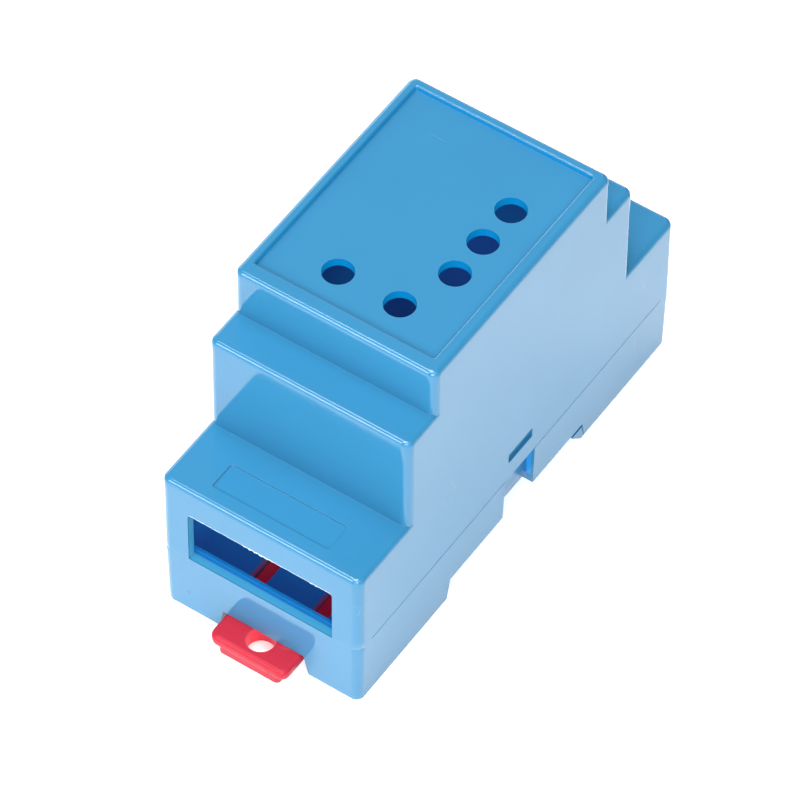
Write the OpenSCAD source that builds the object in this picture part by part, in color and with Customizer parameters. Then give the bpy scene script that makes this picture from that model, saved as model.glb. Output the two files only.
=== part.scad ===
// Two-module housing that snaps on a 35 mm top-hat rail.
// A stepped cover sits on a shallow base, and a sliding clip in the base locks it to the rail.
// X runs along the rail, Y across it, with the clip at the -Y end. Sizes are in millimetres.
// Heights are counted from the front feet, and the finished part is set down with its rail seat at z = 0.

/* [Case] */
// Width over the side walls, at the joint between cover and base
case_w = 37; // [30:0.5:54]
// Length over the two ends, at the joint between cover and base
case_l = 88; // [84:0.5:110]
// Height from the feet to the rim of the top panel
case_h = 59.7; // [56:0.1:75]
// Height of the joint between cover and base
joint_h = 13.5; // [12:0.1:16]

/* [Steps] */
// Height of the terminal shelves
low_h = 30.4; // [27:0.1:36]
// Height of the middle shelves
mid_h = 50.1; // [44:0.1:54]
// Length over the middle step
mid_l = 62; // [56:0.5:78]
// Length over the top panel
top_l = 48.4; // [42:0.1:52]

/* [Moulding] */
// Thickness of the cover's walls
wall = 1.5; // [1:0.1:2]
// Thickness of the shelves and of the top panel
roof = 1.65; // [1.2:0.05:2.2]
// Radius of the upright corners at the joint
corner_r = 1.7; // [1:0.1:3]
// Radius of the edges round the shelves and the top
edge_r = 0.95; // [0.5:0.05:1]
// Radius of the edges round the feet
foot_r = 0.4; // [0.2:0.05:0.8]
// How far the walls of the cover lean in for every 10 mm of height
cover_draft = 0.04; // [0:0.01:0.1]
// How far the walls of the base lean in for every 10 mm down to the feet
base_draft = 0.2; // [0:0.05:0.35]
// Gap left between pieces that slide or slip into each other
fit_gap = 0.15; // [0.1:0.05:0.3]
// Open line that shows between cover and base along the sides
seam_gap = 0.15; // [0:0.05:0.3]

/* [Top panel] */
// Width of the raised rim at the panel's sides and rear
rim_w = 1.8; // [1.5:0.1:3]
// Width of the raised rim at the panel's front, on the clip's side
rim_front = 2.9; // [1.5:0.1:4]
// How far the panel lies off the middle line
panel_x = -0.2; // [-0.5:0.1:0.5]
// Depth of the panel below its rim
panel_drop = 1; // [0.4:0.1:1.2]
// Diameter of the indicator holes
lamp_d = 5.2; // [3:0.1:6]
// Distance between the two holes side by side
lamp_pair = 11.2; // [8:0.1:14]
// Distance of that pair from the middle of the panel, towards the clip
lamp_pair_y = 14.7; // [12:0.1:17]
// Distance of the row of holes from the middle line
lamp_row_x = 9.05; // [7:0.05:11]
// Distance from hole to hole along the row
lamp_pitch = 7.6; // [7:0.05:8]
// Place of the row's middle hole, from the middle of the panel
lamp_row_y = 2.55; // [0:0.05:4]
// How many holes stand in the row
lamp_count = 3; // [1:1:3]

/* [Terminals] */
// Width of the terminal windows
window_w = 26.8; // [20:0.1:27.5]
// Height of the terminal windows above the joint
window_h = 11; // [6:0.5:13]
// Radius of the windows' upper corners
window_r = 0.8; // [0.3:0.1:2]
// Width of the sunk label field on the terminal shelves
label_w = 21.7; // [14:0.1:26]
// Length of the label field
label_l = 5.3; // [4:0.1:7]
// Distance of the label field's middle from the end of the case
label_in = 5.6; // [4.5:0.1:6]
// Depth of the label field
label_drop = 0.3; // [0.1:0.05:0.5]
// Radius of the label field's corners
label_r = 0.5; // [0.2:0.1:1.5]

/* [Base] */
// Thickness of the base's walls
base_wall = 2.2; // [1.8:0.1:3]
// Thickness of the floor
floor_t = 1.75; // [1.2:0.05:2.5]
// Height of the rim inside the joint that locates the cover
spigot_h = 0.9; // [0.5:0.1:2]
// Thickness of the walls and ribs under the feet
rib_t = 1.4; // [1:0.1:1.6]
// How much higher the rear feet end than the front feet
rear_lift = 0.75; // [0:0.05:1]

/* [Rail] */
// Width of the rail over its flanges
rail_w = 35; // [32:0.5:36]
// Thickness of the rail's flanges
rail_t = 1; // [1:0.1:1.5]
// Height of the face that seats on the rail, above the front feet
seat_h = 4.6; // [4.2:0.05:5.2]
// Room beside the rail between the feet, on each side
rail_room = 1.3; // [0.6:0.1:1.4]
// How far the feet's inner faces lean away from the rail
rail_flare = 0.75; // [0:0.05:1]
// How far the hook and the clip's nose reach under the flanges
hook_reach = 1.2; // [1:0.1:2]
// Width of the two fixed hooks at the rear
hook_w = 8; // [4:0.5:12]

/* [Latches] */
// Width of the latch tongues
latch_w = 6.4; // [4:0.1:8]
// Thickness of the latch tongues
latch_t = 1.3; // [0.8:0.1:1.6]
// Place of the latches along the case, from its middle
latch_y = 0.2; // [-3:0.1:3]
// Width of the notch in the base that frees each latch
notch_w = 8.5; // [8.4:0.1:11]
// Height of the slot's lower edge above the joint
slot_up = 3.9; // [3:0.1:6]
// Height of the slot that the latch snaps into
slot_h = 2.1; // [1.5:0.1:3]

/* [Clip] */
// Place of the clip from the middle of the width
clip_x = 0.35; // [-1:0.05:1]
// Width of the clip
clip_w = 14.4; // [13:0.1:15]
// Thickness of the clip's plate
clip_t = 2.3; // [1.8:0.05:2.4]
// How far the clip's tab stands out of the case at rest
tab_out = 4.5; // [3.5:0.1:6]
// Radius of the tab's outer corners
tab_r = 1.5; // [1:0.1:3]
// Radius of the tab's upper and lower edges
tab_soft = 0.8; // [0.2:0.1:0.8]
// Diameter of the hole that a screwdriver goes in
tool_d = 4.8; // [3:0.1:5]
// Distance of that hole's middle from the front of the tab
tool_in = 3.7; // [3:0.1:5]
// Distance of that hole's middle from the middle of the tab
tool_x = 0.25; // [-1:0.05:1]
// How far the clip slides out to free the rail
clip_travel = 3.5; // [2:0.1:3.5]
// Thickness of the lips that carry the clip
lip_t = 1.4; // [1:0.1:1.5]
// How far the lips reach under the clip
lip_reach = 3; // [2:0.1:4]
// Thickness of the clip's springy arms
arm_t = 1.2; // [0.8:0.1:1.6]
// Width of the slots that cut the arms free
arm_slot = 1; // [0.6:0.1:1.5]

/* [Hidden] */
arc_steps = 6;
eps = 0.01;
cut = 30;               // longer than anything that a through cut passes

half_w = case_w / 2;
half_l = case_l / 2;
cover_lean = cover_draft / 10 * (case_h - joint_h);
base_lean = base_draft / 10 * joint_h;
inner_r = 0.7;          // least radius of the corners inside the cover
soft_r = 0.3;           // radius of the edges inside the cover
panel_low = case_h - panel_drop - roof;
panel_r = 0.4;

guide_t = 1;            // ribs that hold the edges of a circuit board between them
guide_room = 2;
guide_out = 0.8;
guide_low = joint_h + 9;

floor_h = seat_h + floor_t;
floor_r = 0.6;
inner_w = case_w - 2 * base_wall;
spigot_t = base_wall - wall - fit_gap;
rail_gap = rail_w + 2 * rail_room;
foot_in = rail_gap / 2 + rail_flare;    // where the feet begin, from the middle of the case

latch_x = half_w - base_wall;
latch_head = 0.4;       // how far the tip of a latch rises past its slot
latch_edge = 0.5;       // height of the hook's edge

hook_top = seat_h - rail_t - fit_gap;
hook_tip = 0.3;         // thickness of the hooks and of the clip's nose at their tips
hook_slope = 2.5;       // length of the slope under the hooks' tips
hook_x = half_w - base_lean - 0.1;

channel_w = clip_w + 2 * fit_gap;
channel_top = seat_h - 0.2;
clip_top = channel_top - fit_gap;
clip_low = clip_top - clip_t;
under_clip = 0.3;       // room under the clip
clip_front = -half_l - tab_out;
clip_step = -rail_w / 2 - 0.5;
nose_tip = -rail_w / 2 + hook_reach;
nose_root = clip_step - 2.6;
nose_slope = 1.4;       // length of the slope under the nose's tip
lip_top = clip_low - fit_gap;
mouth_room = 0.95;      // how much wider than the channel the notch in the front wall is, below
mouth_lean = 0.75;      // how far the notch's sides lean in, up to the channel's top
mouth_r = 0.7;
boss_t = 0.7;           // wall round the hole for the screwdriver
boss_low = under_clip + 0.4;
tab_l = tab_out + clip_travel + tab_r;
pull_w = clip_w - 2 * tab_r;
pull_t = 1.8;
pull_in = 0.5;          // how far the lower lip stands back from the front of the tab
pull_r = 0.8;
catch_l = 2;
catch_out = 0.7;        // depth of the pockets that the catches move in
catch_bump = fit_gap + catch_out - 0.3;
arm_l = 6.4;
catch_y = nose_root - arm_l + 0.5;
lip_y = -half_l + base_wall + 1.3;
lip_l = catch_y - clip_travel - fit_gap - 0.4 - lip_y;

// ---- shared forms ----

// To the nearest micron, so that faces made in different ways meet exactly
function micron(v) = round(v * 1000) / 1000;

// One side of an upright section, from the foot of the wall to the middle of its soft upper edge
function side(reach, height, draft, soft) =
    let (z = height - soft, x = reach - draft * z)
    concat([[reach, 0]],
        [for (k = [0:arc_steps]) let (a = 90 * k / arc_steps)
            [x - soft + micron(soft * cos(a)), z + micron(soft * sin(a))]]);

// The points of a rectangle with round corners, centred on the origin
function round_rect(w, l, r) =
    [for (q = [0:3], k = [0:arc_steps])
        let (a = 90 * q + 90 * k / arc_steps,
             sx = (q == 0 || q == 3) ? 1 : -1,
             sy = q < 2 ? 1 : -1)
        [sx * (w / 2 - r) + micron(r * cos(a)), sy * (l / 2 - r) + micron(r * sin(a))]];

// A section with two like sides
module section(half, s) {
    n = len(s) - 1;
    polygon(concat(
        [for (p = s) [half + p.x, p.y]],
        [for (k = [n:-1:0]) [-half - s[k].x, s[k].y]]));
}

// A moulded block on z = 0: round upright corners, walls that lean in, a soft upper edge
module block(w, l, h, r, draft, soft) {
    s = side(r, h, draft, min(soft, micron(r - draft * h - 0.05)));
    hx = w / 2 - r;
    hy = l / 2 - r;
    rotate([90, 0, 0])
        linear_extrude(2 * hy, center = true) section(hx, s);
    rotate([90, 0, 90])
        linear_extrude(2 * hx, center = true) section(hy, s);
    for (q = [0:3])
        translate([(q == 0 || q == 3 ? 1 : -1) * hx, (q < 2 ? 1 : -1) * hy, 0])
            rotate([0, 0, 90 * q])
                rotate_extrude(angle = 90, $fn = 48)
                    polygon(concat([[0, 0]], s, [[0, h]]));
}

// A box centred in X, from y0 to y1 and from z0 to z1
module bar(w, y0, y1, z0, z1) {
    translate([-w / 2, y0, z0]) cube([w, y1 - y0, z1 - z0]);
}

// The same form on both sides of the middle plane
module both_sides() {
    children();
    mirror([1, 0, 0]) children();
}

// The same form at both ends of the case
module both_ends() {
    children();
    mirror([0, 1, 0]) children();
}

// Puts the rail seat at z = 0
module seated() {
    translate([0, 0, -seat_h]) children();
}

// ---- cover ----

// One step of the cover, from the joint up to its shelf
module step(l, top, inset, soft) {
    translate([0, 0, joint_h])
        block(case_w - 2 * inset, l - 2 * inset, top - joint_h, max(corner_r - inset, inner_r),
            cover_draft / 10, soft);
}

module cover_outside() {
    step(case_l, low_h, 0, edge_r);
    step(mid_l, mid_h, 0, edge_r);
    step(top_l, case_h, 0, edge_r);
}

module cover_inside() {
    translate([0, 0, -eps]) {
        step(case_l, low_h - roof + eps, wall, soft_r);
        step(mid_l, mid_h - roof + eps, wall, soft_r);
        step(top_l, panel_low + eps, wall, soft_r);
    }
}

module panel_recess() {
    w = case_w - 2 * (rim_w + cover_lean + abs(panel_x));
    l = top_l - rim_w - rim_front - 2 * cover_lean;
    translate([panel_x, (rim_front - rim_w) / 2, case_h - panel_drop])
        linear_extrude(panel_drop + 1) polygon(round_rect(w, l, panel_r));
}

module lamp_hole() {
    translate([0, 0, panel_low - 1])
        cylinder(d = lamp_d, h = roof + 2, $fn = 48);
}

module lamp_holes() {
    both_sides()
        translate([lamp_pair / 2, -lamp_pair_y, 0]) lamp_hole();
    for (k = [0:lamp_count - 1])
        translate([lamp_row_x, lamp_row_y + (k - (lamp_count - 1) / 2) * lamp_pitch, 0])
            lamp_hole();
}

// The window's outline stands on the joint, with its two upper corners rounded
module window() {
    s = concat([[window_r, -1]],
        [for (k = [0:arc_steps]) let (a = 90 * k / arc_steps)
            [micron(window_r * cos(a)), window_h - window_r + micron(window_r * sin(a))]]);
    translate([0, -half_l + wall + 1, joint_h])
        rotate([90, 0, 0])
            linear_extrude(wall + 2) section(window_w / 2 - window_r, s);
}

// A shallow field for a label on each terminal shelf
module label_field() {
    translate([0, -half_l + label_in, low_h - label_drop])
        linear_extrude(1) polygon(round_rect(label_w, label_l, label_r));
}

module latch_slot() {
    translate([half_w - wall - 1, latch_y - latch_w / 2 - fit_gap, joint_h + slot_up])
        cube([wall + 2, latch_w + 2 * fit_gap, slot_h]);
}

// Upright ribs inside the side walls that guide the edges of a circuit board
module board_guides() {
    step_y = (guide_room + guide_t) / 2;
    both_sides()
        for (y = [-top_l / 4, top_l / 4], k = [-1, 1])
            translate([half_w - wall - cover_lean - guide_out, y + k * step_y - guide_t / 2,
                       guide_low])
                cube([guide_out + wall / 2, guide_t, panel_low - guide_low + eps]);
}

module cover() {
    color([0.31, 0.62, 0.86])
    seated() {
        difference() {
            cover_outside();
            cover_inside();
            panel_recess();
            lamp_holes();
            both_ends() {
                window();
                label_field();
            }
            both_sides() latch_slot();
            // the side walls stop just short of the base
            both_sides()
                translate([half_w - wall - 1, -half_l + 2 * corner_r, joint_h - 1])
                    cube([wall + 2, case_l - 4 * corner_r, 1 + seam_gap]);
        }
        board_guides();
    }
}

// ---- base ----

// The block's lower edge stands on the bench at the front and a little above it at the rear
module base_outside() {
    for (end = [-1, 1])
        intersection() {
            translate([0, 0, joint_h])
                mirror([0, 0, 1])
                    block(case_w, case_l, joint_h - (end < 0 ? 0 : rear_lift), corner_r,
                        base_draft / 10, foot_r);
            translate([-case_w, (end - 1) / 2 * case_l, -1])
                cube([2 * case_w, case_l, joint_h + 2]);
        }
}

// The low wall that stands inside the cover and keeps it in line
module spigot() {
    w = case_w - 2 * wall - 2 * fit_gap;
    l = case_l - 2 * wall - 2 * fit_gap;
    translate([0, 0, joint_h - 1])
        linear_extrude(1 + spigot_h)
            difference() {
                polygon(round_rect(w, l, 0.5));
                polygon(round_rect(w - 2 * spigot_t, l - 2 * spigot_t, 0.3));
            }
}

module base_inside() {
    translate([0, 0, floor_h])
        linear_extrude(joint_h)
            polygon(round_rect(inner_w, case_l - 2 * base_wall, floor_r));
}

// The soft lower edge of a foot beside the rail: up on the -Y side, down on the +Y side
function foot_arc(end) =
    let (low = end < 0 ? 0 : rear_lift)
    [for (k = [0:arc_steps]) let (a = 90 * (end < 0 ? k : arc_steps - k) / arc_steps)
        [end * (foot_in + foot_r - micron(foot_r * sin(a))), low + foot_r - micron(foot_r * cos(a))]];

// The space that the rail takes between the feet, right across the width
module rail_space() {
    rotate([90, 0, 90])
        linear_extrude(case_w + 2, center = true)
            polygon(concat(
                [[-foot_in - foot_r, -1]], foot_arc(-1),
                [[-rail_gap / 2, seat_h], [rail_gap / 2, seat_h]], foot_arc(1),
                [[foot_in + foot_r, -1]]));
}

// Hollows in the underside of the feet, between the walls and the ribs
module foot_pockets() {
    y0 = foot_in + rib_t;
    y1 = half_l - base_wall;
    x0 = channel_w / 2 + abs(clip_x) + rib_t;
    x1 = half_w - base_wall - base_lean;
    both_sides()
        both_ends()
            translate([x0, y0, -1]) cube([x1 - x0, y1 - y0, seat_h + 1]);
    // the rear foot has no clip, so its middle is hollow too
    bar(channel_w, y0, y1, -1, seat_h);
}

// One side of the notch in the front wall, which flares out round a soft lower corner
function mouth(r) =
    concat([[r, -1]],
        [for (k = [0:arc_steps]) let (a = 90 * k / arc_steps)
            [r - micron(r * sin(a)), r - micron(r * cos(a))]],
        [[-mouth_lean, channel_top]]);

// Puts what belongs to the clip in its place along the width
module at_clip() {
    translate([clip_x, 0, 0]) children();
}

// The channel that the clip slides in, open at the front wall and towards the rail
module clip_channel() {
    bar(channel_w, -half_l - 1, -rail_gap / 2 + 1, -1, channel_top);
    translate([0, -half_l + base_wall / 2, 0])
        rotate([90, 0, 0])
            linear_extrude(base_wall + 1, center = true)
                section(channel_w / 2 + mouth_room, mouth(mouth_r));
}

// Lips that carry the clip from below, one on each side of the channel
module clip_lips() {
    both_sides()
        translate([channel_w / 2 - lip_reach, lip_y, lip_top - lip_t])
            cube([lip_reach + rib_t / 2, lip_l, lip_t]);
}

// Openings in the floor over the lips, which let the lips be moulded
module lip_slots() {
    both_sides()
        translate([channel_w / 2 - lip_reach, lip_y, seat_h - 1])
            cube([lip_reach, lip_l, floor_t + 2]);
}

// Pockets in the sides of the channel, as long as the clip's catches travel
module catch_pockets() {
    both_sides()
        translate([channel_w / 2 - eps, catch_y - clip_travel - fit_gap, -1])
            cube([catch_out + eps, catch_l + clip_travel + 2 * fit_gap, seat_h + 1]);
}

// The fixed hooks at the rear, which go under the far flange of the rail
module rail_hooks() {
    tip = rail_w / 2 - hook_reach;
    root = foot_in + rib_t / 2;
    both_sides()
        translate([hook_x - hook_w, 0, 0])
            rotate([90, 0, 90])
                linear_extrude(hook_w)
                    polygon([[tip, hook_top], [tip, hook_top - hook_tip],
                        [tip + hook_slope, rear_lift], [root, rear_lift], [root, hook_top]]);
}

// Each side wall of the base is notched in front of its latch
module latch_notch() {
    translate([latch_x, latch_y - notch_w / 2, -1])
        cube([cut, notch_w, cut]);
}

// A springy tongue with a hook that snaps into the cover, on an upright plate behind the notch
module latch() {
    low = joint_h + slot_up + fit_gap;
    high = joint_h + slot_up + slot_h + latch_head;
    reach = half_w - wall / 3 - latch_x;
    plate_w = notch_w + 2 * latch_t;
    translate([latch_x - latch_t, latch_y - plate_w / 2, floor_h - 1])
        cube([latch_t, plate_w, joint_h - floor_h]);
    translate([latch_x, latch_y + latch_w / 2, 0])
        rotate([90, 0, 0])
            linear_extrude(latch_w)
                polygon([[-latch_t, floor_h - 1], [0, floor_h - 1], [0, low], [reach, low],
                    [reach, low + latch_edge], [0, high], [-latch_t, high]]);
}

module base() {
    color([0.29, 0.6, 0.85])
    seated() {
        difference() {
            union() {
                base_outside();
                spigot();
            }
            base_inside();
            rail_space();
            foot_pockets();
            at_clip() {
                clip_channel();
                lip_slots();
                catch_pockets();
            }
            both_sides() latch_notch();
        }
        at_clip() clip_lips();
        rail_hooks();
        both_sides() latch();
    }
}

// ---- clip ----

// The part of the clip inside the case, from above: two springy arms are cut free at its sides
module clip_plan() {
    difference() {
        y0 = clip_front + tab_l - tab_r;
        translate([-clip_w / 2, y0]) square([clip_w, clip_step - y0]);
        for (k = [0, 1])
            mirror([k, 0]) {
                translate([clip_w / 2 - arm_t - arm_slot, catch_y - arm_slot])
                    square([arm_slot, arm_l + arm_slot]);
                translate([clip_w / 2 - arm_t - arm_slot, catch_y - arm_slot])
                    square([arm_t + arm_slot + 1, arm_slot]);
            }
    }
    // the catches stand out at the free ends of the arms
    for (k = [0, 1])
        mirror([k, 0])
            polygon([[clip_w / 2 - eps, catch_y], [clip_w / 2 + catch_bump, catch_y],
                [clip_w / 2 + catch_bump, catch_y + catch_l / 2],
                [clip_w / 2 - eps, catch_y + catch_l]]);
}

// The clip's section where it goes under the rail: the nose is low, with a sloped underside
module clip_nose() {
    translate([-clip_w / 2, 0, 0])
        rotate([90, 0, 90])
            linear_extrude(clip_w)
                polygon([[nose_root, clip_low], [nose_root + 1, under_clip],
                    [nose_tip - nose_slope, under_clip], [nose_tip, hook_top - hook_tip],
                    [nose_tip, hook_top], [clip_step, hook_top], [clip_step, clip_top],
                    [nose_root, clip_top]]);
}

// The tab, and as much of the clip behind it as slides out, is soft at its edges above and below
module tab() {
    translate([0, clip_front + tab_l / 2, clip_low + clip_t / 2])
        for (k = [0, 1])
            mirror([0, 0, k]) block(clip_w, tab_l, clip_t / 2, tab_r, 0, tab_soft);
}

// A lower lip under the tab gives the screwdriver something to pull on
module tab_lip() {
    translate([0, clip_front + pull_in + pull_t / 2, under_clip])
        linear_extrude(clip_low - under_clip + eps)
            polygon(round_rect(pull_w, pull_t, pull_r));
}

// The hole for the screwdriver runs down through this boss
module tool_boss() {
    translate([tool_x, clip_front + tool_in, boss_low])
        cylinder(d = tool_d + 2 * boss_t, h = clip_low - boss_low + eps, $fn = 48);
}

module din_clip() {
    color([0.9, 0.1, 0.14])
    seated()
        at_clip()
            difference() {
                union() {
                    translate([0, 0, clip_low]) linear_extrude(clip_t) clip_plan();
                    clip_nose();
                    tab();
                    tab_lip();
                    tool_boss();
                }
                translate([tool_x, clip_front + tool_in, -1])
                    cylinder(d = tool_d, h = cut, $fn = 48);
            }
}

cover();
base();
din_clip();
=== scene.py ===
"""DIN rail enclosure: a glossy blue two-part case with a red rail clip, on a pale studio floor."""
import math

import bpy
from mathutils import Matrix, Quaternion, Vector


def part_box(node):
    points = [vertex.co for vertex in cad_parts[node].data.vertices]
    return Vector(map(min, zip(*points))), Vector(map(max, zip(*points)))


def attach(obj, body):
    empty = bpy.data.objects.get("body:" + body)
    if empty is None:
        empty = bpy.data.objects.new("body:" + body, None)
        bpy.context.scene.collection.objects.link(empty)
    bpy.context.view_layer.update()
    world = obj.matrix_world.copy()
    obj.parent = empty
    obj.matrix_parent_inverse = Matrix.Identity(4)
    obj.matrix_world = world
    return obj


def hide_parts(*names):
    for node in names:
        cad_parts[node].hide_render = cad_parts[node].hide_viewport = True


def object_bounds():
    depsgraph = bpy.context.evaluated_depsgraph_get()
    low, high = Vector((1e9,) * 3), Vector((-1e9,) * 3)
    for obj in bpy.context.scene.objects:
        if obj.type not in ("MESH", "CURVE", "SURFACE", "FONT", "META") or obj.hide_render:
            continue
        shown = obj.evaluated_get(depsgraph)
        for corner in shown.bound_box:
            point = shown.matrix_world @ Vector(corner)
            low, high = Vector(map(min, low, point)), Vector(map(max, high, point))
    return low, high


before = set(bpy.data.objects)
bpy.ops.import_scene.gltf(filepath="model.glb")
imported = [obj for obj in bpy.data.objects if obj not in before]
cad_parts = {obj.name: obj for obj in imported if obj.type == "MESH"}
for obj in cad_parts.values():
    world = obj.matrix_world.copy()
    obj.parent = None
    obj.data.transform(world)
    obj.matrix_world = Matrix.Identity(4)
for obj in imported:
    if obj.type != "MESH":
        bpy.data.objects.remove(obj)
cad_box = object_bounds()

# ---- cover ----
# The upper shell is one moulding in glossy blue ABS. It drops over the base and is held by the
# two latches that show in its side slots. The top panel lies in a raised rim and has holes for
# lamps.
MM = 0.001
blue = (0.030, 0.187, 0.352)


def pick_only(piece):
    """Makes this the one selected object, as a click on it does."""
    for other in bpy.context.selected_objects:
        other.select_set(False)
    piece.select_set(True)
    bpy.context.view_layer.objects.active = piece


def joined_copy(node, name):
    """A copy of a CAD node with its triangles joined and its flats cleaned."""
    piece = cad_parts[node].copy()
    piece.data = piece.data.copy()
    piece.name = name
    piece.data.name = name
    for key in list(piece.keys()):
        if key.startswith("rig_"):
            del piece[key]
    piece.parent = None
    bpy.context.scene.collection.objects.link(piece)
    pick_only(piece)
    bpy.ops.object.mode_set(mode="EDIT")
    bpy.ops.mesh.select_all(action="SELECT")
    bpy.ops.mesh.remove_doubles(threshold=0.002 * MM)
    bpy.ops.mesh.dissolve_limited(angle_limit=math.radians(0.2))
    bpy.ops.object.mode_set(mode="OBJECT")
    return piece


def round_edges(piece, belongs, radius):
    """Rounds the edges whose ends and middle all pass the test."""
    pick_only(piece)
    bpy.ops.object.mode_set(mode="EDIT")
    bpy.ops.mesh.select_mode(type="EDGE")
    bpy.ops.mesh.select_all(action="DESELECT")
    bpy.ops.object.mode_set(mode="OBJECT")
    points = piece.data.vertices
    for edge in piece.data.edges:
        start, end = (points[index].co for index in edge.vertices)
        edge.select = all(belongs(at) for at in (start, (start + end) / 2, end))
    bpy.ops.object.mode_set(mode="EDIT")
    bpy.ops.mesh.bevel(offset=radius, segments=3, affect="EDGES")
    bpy.ops.object.mode_set(mode="OBJECT")


def ease_edges(piece, width):
    """Takes the sharpness off every other edge, and keeps the flats flat."""
    pick_only(piece)
    bpy.ops.object.shade_smooth()
    ease = piece.modifiers.new("eased edges", "BEVEL")
    ease.width = width
    ease.segments = 2
    ease.limit_method = "ANGLE"
    ease.angle_limit = math.radians(40)
    ease.harden_normals = True
    bpy.ops.object.modifier_apply(modifier=ease.name)
    weigh = piece.modifiers.new("flat faces", "WEIGHTED_NORMAL")
    weigh.keep_sharp = True
    bpy.ops.object.modifier_apply(modifier=weigh.name)


def feed(tree, value, socket):
    """Links a socket to the output it is given, or sets it to a plain value."""
    if isinstance(value, bpy.types.NodeSocket):
        tree.links.new(value, socket)
    else:
        socket.default_value = value


def place_node(tree, kind, settings=None, **sockets):
    """Adds a shader node. Its sockets go by name, or by number as _0, _1 and so on."""
    node = tree.nodes.new("ShaderNode" + kind)
    for name, value in (settings or {}).items():
        setattr(node, name, value)
    for name, value in sockets.items():
        key = int(name[1:]) if name.startswith("_") else name.replace("_", " ")
        feed(tree, value, node.inputs[key])
    return node


def maths(tree, operation, *values):
    """One maths node. Its result is ready to feed the next."""
    node = place_node(tree, "Math", {"operation": operation})
    for socket, value in zip(node.inputs, values):
        feed(tree, value, socket)
    return node.outputs[0]


def overlap(tree, *masks):
    """Where all the masks hold at once."""
    shared = masks[0]
    for mask in masks[1:]:
        shared = maths(tree, "MULTIPLY", shared, mask)
    return shared


def blend(tree, share, first, second):
    """All of the first colour where share is 0, and all of the second where it is 1."""
    return place_node(
        tree, "Mix", {"data_type": "RGBA"}, _0=share, _6=first, _7=second).outputs[2]


def scaled(tree, colour, factor):
    """A colour made stronger or weaker by a factor."""
    return place_node(
        tree, "VectorMath", {"operation": "SCALE"}, _0=colour, Scale=factor).outputs["Vector"]


def remap(tree, value, low, high, start=0.0, end=1.0):
    """Spreads the values from low to high over start to end, and holds them there."""
    return place_node(
        tree, "MapRange", None,
        Value=value, From_Min=low, From_Max=high, To_Min=start, To_Max=end,
    ).outputs["Result"]


def moulded_skin():
    """The skin of a glossy moulding: cloudy tone, faint sink ripples, dust specks and hairlines."""
    tree = bpy.data.node_groups.new("moulded skin", "ShaderNodeTree")
    face = tree.interface
    face.new_socket("Colour", in_out="INPUT", socket_type="NodeSocketColor")
    for name in ("Gloss", "Cloudiness", "Specks", "Hairlines", "Edge Paleness"):
        face.new_socket(name, in_out="INPUT", socket_type="NodeSocketFloat")
    face.new_socket("Colour", in_out="OUTPUT", socket_type="NodeSocketColor")
    face.new_socket("Roughness", in_out="OUTPUT", socket_type="NodeSocketFloat")
    face.new_socket("Height", in_out="OUTPUT", socket_type="NodeSocketFloat")
    given = tree.nodes.new("NodeGroupInput").outputs
    spot = place_node(tree, "TexCoord").outputs["Object"]

    cloud = place_node(tree, "TexNoise", None, Vector=spot, Scale=55.0, Detail=3.0).outputs["Fac"]
    ripple = place_node(
        tree, "TexNoise", None, Vector=spot, Scale=420.0, Detail=2.0).outputs["Fac"]

    # Dust that was moulded in: a dot in one cell in fourteen.
    dust = place_node(tree, "TexVoronoi", None, Vector=spot, Scale=150.0)
    chosen = maths(tree, "GREATER_THAN", place_node(
        tree, "SeparateColor", None, Color=dust.outputs["Color"]).outputs[0], 0.93)
    dot = remap(tree, dust.outputs["Distance"], 0.045, 0.02)
    speck = overlap(tree, dot, chosen, given["Specks"])

    # Hairlines from handling: thin bends of a stretched noise, where another noise lets them show.
    drawn = place_node(
        tree, "Mapping", None,
        Vector=spot, Rotation=(0.4, 0.3, 0.9), Scale=(25.0, 260.0, 140.0),
    ).outputs["Vector"]
    strand = place_node(tree, "TexNoise", None, Vector=drawn, Scale=1.0, Detail=1.0).outputs["Fac"]
    from_line = maths(tree, "ABSOLUTE", maths(tree, "SUBTRACT", strand, 0.5))
    line = remap(tree, from_line, 0.006, 0.002)
    patch = place_node(tree, "TexNoise", None, Vector=spot, Scale=90.0, Detail=1.0).outputs["Fac"]
    scratch = overlap(tree, line, remap(tree, patch, 0.66, 0.72), given["Hairlines"])

    # Edges are a little paler, where the plastic is rubbed.
    rounded = place_node(tree, "Bevel", {"samples": 4}, Radius=0.25 * MM).outputs["Normal"]
    facing = place_node(tree, "NewGeometry").outputs["Normal"]
    agree = place_node(
        tree, "VectorMath", {"operation": "DOT_PRODUCT"}, _0=rounded, _1=facing).outputs["Value"]
    edge = maths(tree, "MULTIPLY", remap(tree, agree, 0.985, 0.86), given["Edge Paleness"])

    cloud_swing = maths(tree, "SUBTRACT", cloud, 0.5)
    tone = maths(tree, "MULTIPLY_ADD", cloud_swing, given["Cloudiness"], 1.0)
    rubbed = (0.75, 0.8, 0.85, 1.0)
    dirt = (0.004, 0.02, 0.06, 1.0)
    toned = scaled(tree, given["Colour"], tone)
    paler = blend(tree, maths(tree, "ADD", edge, scratch), toned, rubbed)
    dotted = blend(tree, speck, paler, dirt)

    uneven = maths(tree, "MULTIPLY_ADD", cloud_swing, 0.05, given["Gloss"])
    rough = maths(tree, "MULTIPLY_ADD", maths(tree, "ADD", scratch, speck), 0.3, uneven)
    swell = maths(tree, "MULTIPLY_ADD", ripple, 0.06, cloud)
    height = maths(tree, "SUBTRACT", swell, maths(tree, "MULTIPLY", scratch, 0.3))
    result = tree.nodes.new("NodeGroupOutput").inputs
    tree.links.new(dotted, result["Colour"])
    tree.links.new(rough, result["Roughness"])
    tree.links.new(height, result["Height"])
    return tree


skin = moulded_skin()


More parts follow.
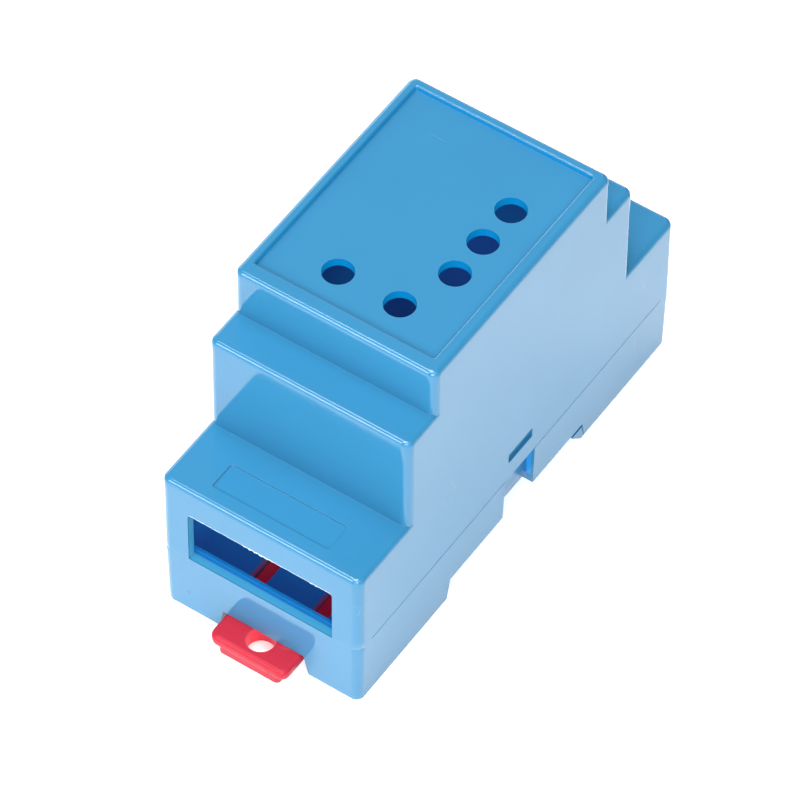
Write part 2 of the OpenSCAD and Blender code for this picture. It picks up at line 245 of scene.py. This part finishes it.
def gloss_plastic(name, colour, gloss, specks, hairlines, edge_paleness):
    """A glossy moulding in one colour, with the moulded skin on it."""
    material = bpy.data.materials.new(name)
    material.use_nodes = True
    tree = material.node_tree
    shader = tree.nodes["Principled BSDF"]
    shader.inputs["IOR"].default_value = 1.5
    surface = place_node(
        tree, "Group", {"node_tree": skin}, Colour=(*colour, 1.0), Gloss=gloss, Cloudiness=0.1,
        Specks=specks, Hairlines=hairlines, Edge_Paleness=edge_paleness,
    ).outputs
    tree.links.new(surface["Colour"], shader.inputs["Base Color"])
    tree.links.new(surface["Roughness"], shader.inputs["Roughness"])
    bump = place_node(
        tree, "Bump", None, Strength=0.05, Distance=0.1 * MM, Height=surface["Height"])
    tree.links.new(bump.outputs["Normal"], shader.inputs["Normal"])
    return material


def light_through_walls(material):
    """Lets the thin blue walls shine on their inside, as light from the room comes through them.

    How deep a point lies under the outside of the case tells a wall from the room inside. The
    levels are those of this case. If its sizes are changed, they have to be changed too.
    """
    tree = material.node_tree
    shader = tree.nodes["Principled BSDF"]
    spot = place_node(tree, "TexCoord").outputs["Object"]
    axes = place_node(tree, "SeparateXYZ", None, Vector=spot).outputs
    across = maths(tree, "ABSOLUTE", axes["X"])
    along = maths(tree, "ABSOLUTE", axes["Y"])
    height = axes["Z"]

    # The outside: half its width, then the half length and the top of each step. The last top
    # lies above the rim, so that depth in the rim is measured from its sides alone.
    half_width = 18.5 * MM
    outer_steps = ((44 * MM, 25.8 * MM), (31 * MM, 45.5 * MM), (24.2 * MM, 60 * MM))
    under_steps = None
    for half_length, top in outer_steps:
        under_step = maths(
            tree, "MINIMUM", maths(tree, "SUBTRACT", half_length, along),
            maths(tree, "SUBTRACT", top, height))
        if under_steps is None:
            under_steps = under_step
        else:
            under_steps = maths(tree, "MAXIMUM", under_steps, under_step)
    depth = maths(tree, "MINIMUM", maths(tree, "SUBTRACT", half_width, across), under_steps)

    # Masks by place. Each goes from nothing at its first level to whole at its second. The one
    # near the window reaches a little past the opening, on to the wall round it.
    under_floor_top = 1.66 * MM
    under_panel_top = 54.09 * MM
    over_panel_bottom = 52.47 * MM
    past_wall = remap(tree, depth, 1.3 * MM, 1.6 * MM)
    above_floor = overlap(
        tree, remap(tree, height, under_floor_top, 1.72 * MM),
        remap(tree, height, under_panel_top, 54.0 * MM))
    near_window = overlap(
        tree, remap(tree, along, 42 * MM, 42.3 * MM),
        remap(tree, across, 14.2 * MM, 14 * MM),
        remap(tree, height, 8.5 * MM, 8.6 * MM),
        remap(tree, height, 20.4 * MM, 20.2 * MM))
    window_edge = overlap(tree, near_window, remap(tree, depth, 0.15 * MM, 0.3 * MM))
    in_wall = overlap(
        tree, above_floor,
        maths(tree, "MAXIMUM", remap(tree, depth, 0.57 * MM, 0.7 * MM), window_edge))
    inside = overlap(
        tree, past_wall, above_floor, remap(tree, height, 52.6 * MM, over_panel_bottom))
    in_rim = overlap(
        tree, remap(tree, depth, 1.2 * MM, 1.4 * MM),
        remap(tree, height, 54.15 * MM, 54.3 * MM), remap(tree, height, 54.95 * MM, 54.7 * MM))
    in_slot = overlap(
        tree, past_wall, remap(tree, height, 0.15 * MM, 0.4 * MM),
        remap(tree, height, under_floor_top, 1.6 * MM))

    # Below the joint, the plates beside the notches are outside faces and don't shine.
    joint = 8.9 * MM
    normal = place_node(tree, "NewGeometry").outputs["Normal"]
    turned = place_node(tree, "SeparateXYZ", None, Vector=normal).outputs["X"]
    side_plate = overlap(
        tree, maths(tree, "ABSOLUTE", turned), remap(tree, height, joint, 8.7 * MM),
        remap(tree, along, 12 * MM, 10 * MM))
    elsewhere = maths(tree, "SUBTRACT", 1.0, side_plate)
    in_wall = overlap(tree, in_wall, elsewhere)
    inside = overlap(tree, inside, elsewhere)

    # Along the sides, the lips of the open line between cover and base are lit as well. The
    # line is so narrow that this hardly shows.
    seam_middle = 8.97 * MM
    at_window = remap(tree, along, 40.5 * MM, 42 * MM)
    off_window = maths(tree, "SUBTRACT", 1.0, at_window)
    low_side = overlap(tree, off_window, remap(tree, height, 20 * MM, 16 * MM))
    from_seam = maths(tree, "ABSOLUTE", maths(tree, "SUBTRACT", height, seam_middle))
    in_seam = overlap(
        tree, low_side, remap(tree, depth, 0.06 * MM, 0.14 * MM),
        remap(tree, from_seam, 0.2 * MM, 0.1 * MM))
    in_wall = maths(tree, "MAXIMUM", in_wall, in_seam)

    # The light itself. The walls of the floor slots pick up red from the clip below.
    light_high = (0.0, 0.12, 0.26, 1.0)
    light_at_window = (0.026, 0.135, 0.19, 1.0)
    light_low = (0.006, 0.14, 0.34, 1.0)
    light_in_room = (0.003, 0.014, 0.056)
    light_in_slot = (0.05, 0.008, 0.025, 1.0)
    wall_light = blend(tree, at_window, light_high, light_at_window)
    wall_light = blend(tree, low_side, wall_light, light_low)
    towards_end = remap(tree, along, 20 * MM, 36 * MM, 1.0, 2.0)
    room_light = scaled(tree, light_in_room, towards_end)
    lit = maths(tree, "MAXIMUM", in_wall, in_rim)
    shine = scaled(tree, blend(tree, inside, wall_light, room_light), lit)
    shine = blend(tree, in_slot, shine, light_in_slot)
    tree.links.new(shine, shader.inputs["Emission Color"])
    shader.inputs["Emission Strength"].default_value = 1.0

    # What light is left inside, and in the holes of the panel, has lost its red.
    deep_blue = (0.002, 0.125, 0.33, 1.0)
    redless = maths(tree, "MAXIMUM", inside, overlap(tree, lit, off_window))
    surface = shader.inputs["Base Color"].links[0].from_socket
    tree.links.new(blend(tree, redless, surface, deep_blue), shader.inputs["Base Color"])


def paint(piece, material):
    """The whole piece in one material."""
    piece.data.materials.clear()
    piece.data.materials.append(material)


cover_shell = joined_copy("cover", "cover_shell")

# The rim's inner edge is rounder than the other edges.
rim_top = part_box("cover")[1].z
rim_inner_x, rim_inner_y = 17 * MM, 22.6 * MM
rim_rounding = 0.32 * MM
blue_edge = 0.12 * MM
round_edges(
    cover_shell,
    lambda at: (
        at.z > rim_top - 0.01 * MM and abs(at.x) < rim_inner_x and abs(at.y) < rim_inner_y),
    rim_rounding,
)
ease_edges(cover_shell, blue_edge)
blue_abs = gloss_plastic(
    "blue ABS", blue, gloss=0.08, specks=0.8, hairlines=0.05, edge_paleness=0.04)
light_through_walls(blue_abs)
paint(cover_shell, blue_abs)
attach(cover_shell, "housing")
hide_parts("cover")

# ---- mould flash ----
# A thin ragged film of plastic is left along the upper edge of the front window, where the two
# halves of the mould met. It was never trimmed. Its pale whitish colour is a painted highlight,
# for the light that the thin film catches.
window_top = 19.9 * MM
window_reach = 13.1 * MM
flash_thickness = 0.1 * MM
flash_stand_off = 0.03 * MM
root_share = 0.35


def flash_height(along):
    """How far the film hangs down: a hair nearly everywhere, and rags near the middle."""
    x = along / MM
    middle = max(0.0, 1 - ((x + 0.4) / 3.4) ** 2)
    far_end = max(0.0, 1 - ((x - 10.2) / 1.6) ** 2)
    rags = 0.1 + 0.15 * math.sin(6.1 * x) + 0.12 * math.sin(13.3 * x + 1.1)
    return (0.06 + 0.02 * math.sin(2.1 * x) + max(rags, 0) * (middle + 0.6 * far_end)) * MM


bpy.ops.object.select_all(action="DESELECT")
bpy.ops.mesh.primitive_grid_add(x_subdivisions=220, y_subdivisions=1, size=2)
window_flash = bpy.context.object
window_flash.name = "window_flash"
front_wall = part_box("cover")[0].y
for point in window_flash.data.vertices:
    along, hangs = point.co.x * window_reach, point.co.y < 0
    drop = flash_height(along) if hangs else -root_share * flash_height(-along)
    point.co = Vector((along, front_wall + flash_stand_off, window_top - drop))
film = window_flash.modifiers.new("film", "SOLIDIFY")
film.thickness = flash_thickness
bpy.ops.object.modifier_apply(modifier=film.name)
pick_only(window_flash)
bpy.ops.object.mode_set(mode="EDIT")
bpy.ops.mesh.select_all(action="SELECT")
bpy.ops.mesh.normals_make_consistent(inside=False)
bpy.ops.object.mode_set(mode="OBJECT")
bpy.ops.object.shade_flat()
# Painted highlight: the whole film is painted a pale whitish blue for the light it catches.
pale_painted_highlight = gloss_plastic(
    "whitened flash", (0.6, 0.75, 0.85), gloss=0.35, specks=0.0, hairlines=0.0, edge_paleness=0.1)
paint(window_flash, pale_painted_highlight)
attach(window_flash, "housing")

# ---- base ----
# The lower tray is moulded in the same blue ABS. It carries the feet, the two rail hooks, the
# latch tongues and the channel that the clip slides in.
base_tray = joined_copy("base", "base_tray")
ease_edges(base_tray, blue_edge)
paint(base_tray, blue_abs)
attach(base_tray, "housing")
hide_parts("base")

# ---- clip ----
# The rail clip is a small red moulding. It slides in the base, and its tab stands out in front
# with a hole for the tip of a screwdriver.
red = (0.43, 0.022, 0.042)
rail_clip = joined_copy("din_clip", "rail_clip")
red_edge = 0.2 * MM
ease_edges(rail_clip, red_edge)
red_plastic = gloss_plastic(
    "red plastic", red, gloss=0.25, specks=0.3, hairlines=0.05, edge_paleness=0.05)
red_tree = red_plastic.node_tree
red_shader = red_tree.nodes["Principled BSDF"]
red_shader.inputs["Specular IOR Level"].default_value = 0.14

# The thin tab lets light through to the wall of the tool hole, and the case lets some through
# to the clip inside it.
hole_x, hole_y = 0.6 * MM, -44.8 * MM
light_in_hole = (0.42, 0.015, 0.03)
light_in_case = (0.12, 0.003, 0.01, 1.0)
tab_spot = place_node(red_tree, "TexCoord").outputs["Object"]
tab_axes = place_node(red_tree, "SeparateXYZ", None, Vector=tab_spot).outputs
from_hole = place_node(
    red_tree, "VectorMath", {"operation": "MULTIPLY_ADD"},
    _0=tab_spot, _1=(1.0, 1.0, 0.0), _2=(-hole_x, -hole_y, 0.0)).outputs["Vector"]
hole_reach = place_node(
    red_tree, "VectorMath", {"operation": "LENGTH"}, _0=from_hole).outputs["Value"]
lit_hole = overlap(
    red_tree, remap(red_tree, hole_reach, 2.6 * MM, 2.45 * MM),
    remap(red_tree, tab_axes["Z"], -0.4 * MM, -0.7 * MM))
inside_case = remap(red_tree, tab_axes["Y"], -43.5 * MM, -42 * MM)
clip_shine = blend(
    red_tree, inside_case, scaled(red_tree, light_in_hole, lit_hole), light_in_case)
red_tree.links.new(clip_shine, red_shader.inputs["Emission Color"])
red_shader.inputs["Emission Strength"].default_value = 1.0
paint(rail_clip, red_plastic)
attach(rail_clip, "clip")
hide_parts("din_clip")

# ---- studio ----
# A white table that shines a little by itself, under soft lights from above and around.
floor_gap = 0.05 * MM
floor_level = cad_box[0].z - floor_gap
bpy.ops.mesh.primitive_plane_add(size=6, location=(0, 0, floor_level))
table = bpy.context.object
table.name = "floor"
white = bpy.data.materials.new("white table")
white.use_nodes = True
white_inputs = white.node_tree.nodes["Principled BSDF"].inputs
white_inputs["Base Color"].default_value = (0.9, 0.9, 0.9, 1)
white_inputs["Roughness"].default_value = 0.9
white_inputs["Emission Color"].default_value = (1, 1, 1, 1)
white_inputs["Emission Strength"].default_value = 0.48
table.data.materials.append(white)

world = bpy.data.worlds.new("studio")
bpy.context.scene.world = world
world.use_nodes = True
world.node_tree.nodes["Background"].inputs["Color"].default_value = (1, 1, 1, 1)
world.node_tree.nodes["Background"].inputs["Strength"].default_value = 0.1


def soft_box(name, direction, distance, size, power):
    """A square area light that looks at the case from this direction."""
    light = bpy.data.lights.new(name, "AREA")
    light.size = size
    light.energy = power
    lamp = bpy.data.objects.new(name, light)
    bpy.context.scene.collection.objects.link(lamp)
    aim = Vector(direction).normalized()
    lamp.location = aim * distance
    lamp.rotation_mode = "QUATERNION"
    lamp.rotation_quaternion = aim.to_track_quat("Z", "Y")


soft_box("front_right_light", (0.5, -0.8, 0.6), 1.2, 0.6, 11.7)
soft_box("high_right_light", (0.55, -0.3, 0.93), 1.2, 0.6, 2.9)
soft_box("top_light", (-0.1, -0.1, 1.0), 1.2, 0.6, 13.5)
soft_box("edge_light", (-0.35, -0.77, 0.53), 1.2, 0.38, 5.0)
soft_box("sky_light", (-0.35, 0.52, 0.78), 1.4, 0.9, 0.5)
soft_box("left_card", (-0.8, 0.5, 0.33), 1.2, 0.8, 5.0)
soft_box("back_card", (-0.6, 0.9, 0.27), 1.2, 0.8, 2.5)

# The camera looks down on the clip's end from the right, through a long lens.
azimuth, elevation, roll = math.radians(33.68), math.radians(51.2), math.radians(0.69)
away = Vector((
    math.sin(azimuth) * math.cos(elevation),
    -math.cos(azimuth) * math.cos(elevation),
    math.sin(elevation),
))
lens = bpy.data.cameras.new("camera")
lens.lens = 262.9
lens.sensor_width = 36
lens.shift_x = -0.0073
lens.shift_y = 0.0089
lens.clip_start = 0.05
lens.clip_end = 20
camera = bpy.data.objects.new("camera", lens)
bpy.context.scene.collection.objects.link(camera)
camera.location = Vector((316.42, -479.16, 724.66)) * MM
camera.rotation_mode = "QUATERNION"
camera.rotation_quaternion = away.to_track_quat("Z", "Y") @ Quaternion((0, 0, 1), roll)
bpy.context.scene.camera = camera
bpy.context.scene.view_settings.view_transform = "Standard"
